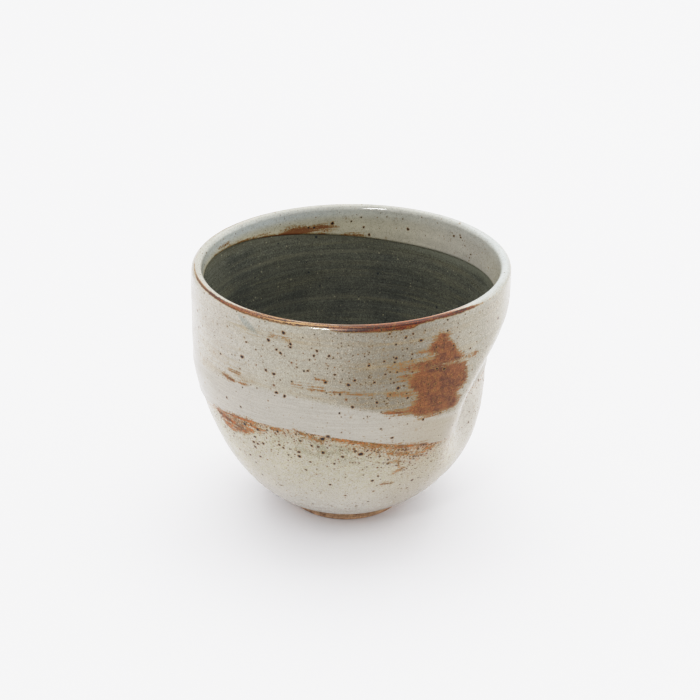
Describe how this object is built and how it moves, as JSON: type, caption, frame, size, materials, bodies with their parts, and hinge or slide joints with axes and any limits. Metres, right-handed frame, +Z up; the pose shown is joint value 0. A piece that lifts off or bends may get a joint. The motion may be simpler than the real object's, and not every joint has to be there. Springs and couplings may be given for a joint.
{
  "type": "guinomi sake cup",
  "caption": "Small thrown stoneware sake cup on a bare turned foot ring, with a thumb dent in one side, a dark glaze inside and two lapped pale coats outside.",
  "frame": {"origin": "centre of the foot ring, on the plane that the cup rests on", "axes": "+Z up through the cup, +X towards the dented side as seen from the front, and the front of the cup, as pictured, faces -Y"},
  "size_m": [0.0704, 0.0702, 0.0589],
  "materials": {
    "bare_clay": "bare fired iron-bearing stoneware, matt",
    "pale_glaze": "semi-gloss pale grey-buff glaze with iron specks and rust patches",
    "dark_glaze": "semi-gloss dark grey-green speckled glaze"
  },
  "bodies": {
    "root": {"clay_bowl": "bare_clay", "foot_ring": "bare_clay", "lower_glaze": "pale_glaze", "upper_glaze": "pale_glaze", "inner_glaze": "dark_glaze"}
  },
  "joints": []
}
